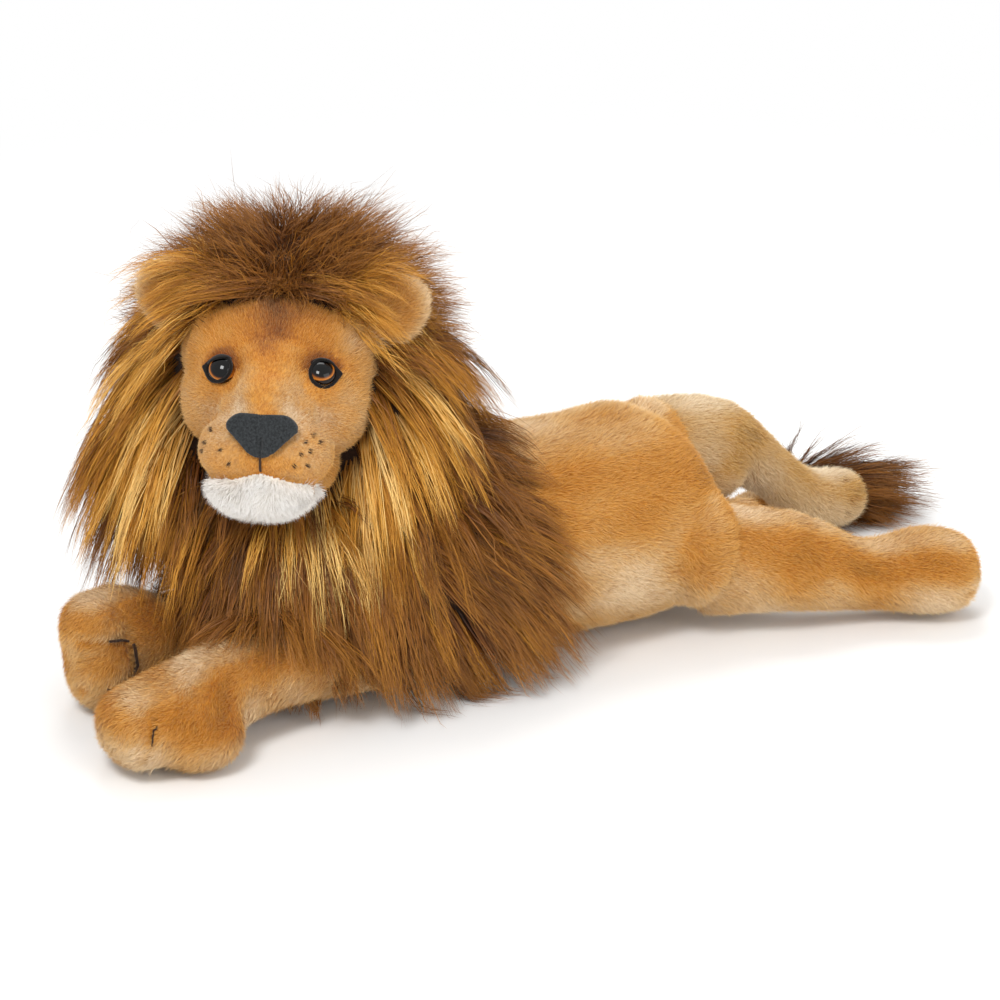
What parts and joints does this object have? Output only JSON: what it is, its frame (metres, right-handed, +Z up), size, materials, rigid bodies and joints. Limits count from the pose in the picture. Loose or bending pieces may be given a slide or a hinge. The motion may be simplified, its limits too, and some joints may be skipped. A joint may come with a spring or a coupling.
{
  "type": "plush lion",
  "caption": "Large floor plush of a lion lying on its belly, with a long-pile mane, a turned head, soft legs and a tufted tail.",
  "frame": {"origin": "middle of the flat of the belly, on the surface that the lion lies on", "axes": "+Z up; +X from the head towards the tail, along the body; the lion's left side is towards -Y"},
  "size_m": [0.6705, 0.2671, 0.3057],
  "materials": {
    "tan_pile": "short golden tan pile",
    "fawn_pile": "short greyish fawn pile",
    "white_pile": "short white pile",
    "brown_mane": "long chestnut brown pile",
    "gold_mane": "long golden pile with darker streaks",
    "filling": "loose polyester fibre",
    "nose_felt": "charcoal felt over foam",
    "lid_felt": "black felt",
    "eye_plastic": "glossy amber and black",
    "washer_plastic": "natural matte plastic"
  },
  "bodies": {
    "torso": {"torso_cover": "tan_pile", "torso_filling": "filling", "mane_cape": "brown_mane"},
    "head": {"head_cover": "tan_pile", "head_filling": "filling", "chin_panel": "white_pile", "nose": "nose_felt", "mane_ruff": "gold_mane", "mane_crown": "brown_mane", "ear_left": "tan_pile", "ear_right": "tan_pile", "eye_left": "eye_plastic", "eye_right": "eye_plastic", "eye_washer_left": "washer_plastic", "eye_washer_right": "washer_plastic", "eyelid_left": "lid_felt", "eyelid_right": "lid_felt"},
    "front_leg_left": {"front_leg_left_cover": "tan_pile", "front_leg_left_filling": "filling"},
    "front_leg_right": {"front_leg_right_cover": "tan_pile", "front_leg_right_filling": "filling"},
    "hind_leg_left": {"hind_leg_left_cover": "tan_pile", "hind_leg_left_filling": "filling"},
    "hind_leg_right": {"hind_leg_right_cover": "fawn_pile", "hind_leg_right_filling": "filling"},
    "tail": {"tail_cover": "tan_pile", "tail_filling": "filling", "tail_tuft": "brown_mane"}
  },
  "joints": [
    {"name": "head_turn", "type": "hinge", "parent": "torso", "child": "head", "pos_m": [-0.14994, 0, 0.15], "axis": [0, 0, 1], "range_deg": [-15, 15], "stiffness_Nm_per_rad": 0.5},
    {"name": "front_leg_left_swing", "type": "hinge", "parent": "torso", "child": "front_leg_left", "pos_m": [-0.105, -0.044, 0.0399], "axis": [0, 0, 1], "range_deg": [-4, 15], "stiffness_Nm_per_rad": 0.2},
    {"name": "front_leg_right_swing", "type": "hinge", "parent": "torso", "child": "front_leg_right", "pos_m": [-0.105, 0.036, 0.04012], "axis": [0, 0, -1], "range_deg": [-4, 15], "stiffness_Nm_per_rad": 0.2},
    {"name": "hind_leg_left_lift", "type": "hinge", "parent": "torso", "child": "hind_leg_left", "pos_m": [0.112, -0.044, 0.04738], "axis": [0, -1, 0], "range_deg": [0, 30], "stiffness_Nm_per_rad": 0.2},
    {"name": "hind_leg_right_lift", "type": "hinge", "parent": "torso", "child": "hind_leg_right", "pos_m": [0.112, 0.044, 0.0861], "axis": [0, -1, 0], "range_deg": [0, 30], "stiffness_Nm_per_rad": 0.2},
    {"name": "tail_swing", "type": "hinge", "parent": "torso", "child": "tail", "pos_m": [0.146, -0.002, 0.076], "axis": [0, 0, 1], "range_deg": [0, 20], "stiffness_Nm_per_rad": 0.05}
  ]
}
